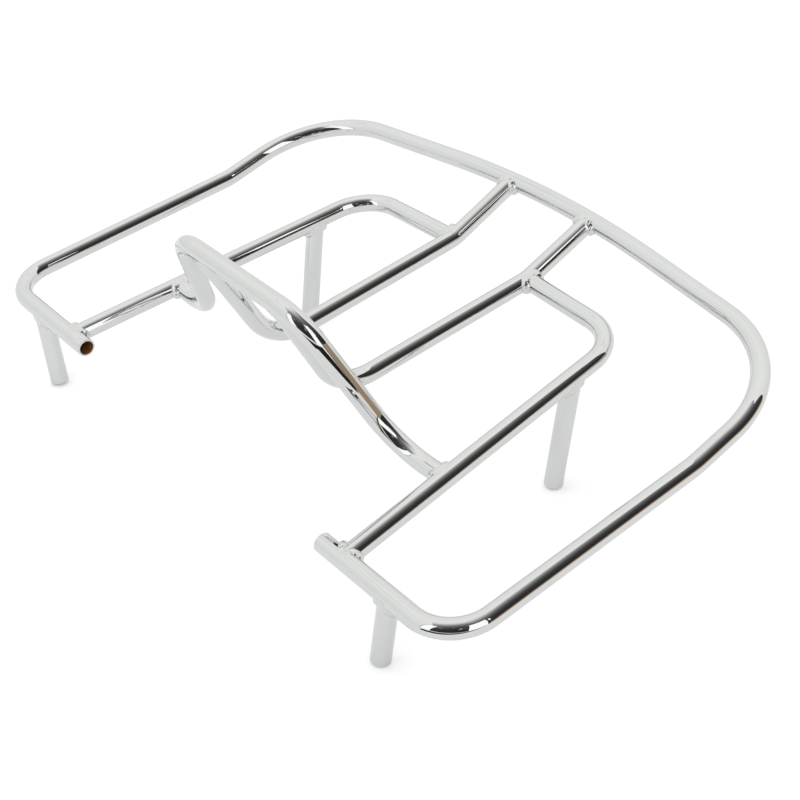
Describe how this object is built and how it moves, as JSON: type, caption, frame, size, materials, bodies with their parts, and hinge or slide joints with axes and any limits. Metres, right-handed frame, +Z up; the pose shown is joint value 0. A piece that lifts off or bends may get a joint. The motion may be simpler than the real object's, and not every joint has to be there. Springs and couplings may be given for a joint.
{
  "type": "motorcycle luggage rack",
  "caption": "Chrome-plated tubular luggage rack for a motorcycle's top box, with a raised rear hoop, a front bow as a load stop and screw-down legs.",
  "frame": {"origin": "on the surface that the legs stand on, under the middle of the rack's length and width", "axes": "+X across the rack, +Y towards the raised rear hoop, +Z up"},
  "size_m": [0.5022, 0.3179, 0.16],
  "materials": {
    "chrome_tube": "polished",
    "chrome_weld": "polished",
    "insert_steel": "satin"
  },
  "bodies": {
    "root": {"centre_rail_left": "chrome_tube", "centre_rail_right": "chrome_tube", "front_bow": "chrome_tube", "inner_rail_left": "chrome_tube", "inner_rail_right": "chrome_tube", "leg_front_left": "chrome_tube", "leg_front_right": "chrome_tube", "leg_rear_left": "chrome_tube", "leg_rear_right": "chrome_tube", "outer_rail": "chrome_tube", "weld_bow_foot_left": "chrome_weld", "weld_bow_foot_right": "chrome_weld", "weld_centre_rear_left": "chrome_weld", "weld_centre_rear_right": "chrome_weld", "weld_inner_front_left": "chrome_weld", "weld_inner_front_right": "chrome_weld", "weld_inner_rear_left": "chrome_weld", "weld_inner_rear_right": "chrome_weld", "weld_leg_front_left": "chrome_weld", "weld_leg_front_right": "chrome_weld", "weld_leg_rear_left": "chrome_weld", "weld_leg_rear_right": "chrome_weld", "weld_riser_left": "chrome_weld", "weld_riser_right": "chrome_weld", "leg_insert_front_left": "insert_steel", "leg_insert_front_right": "insert_steel", "leg_insert_rear_left": "insert_steel", "leg_insert_rear_right": "insert_steel"}
  },
  "joints": []
}
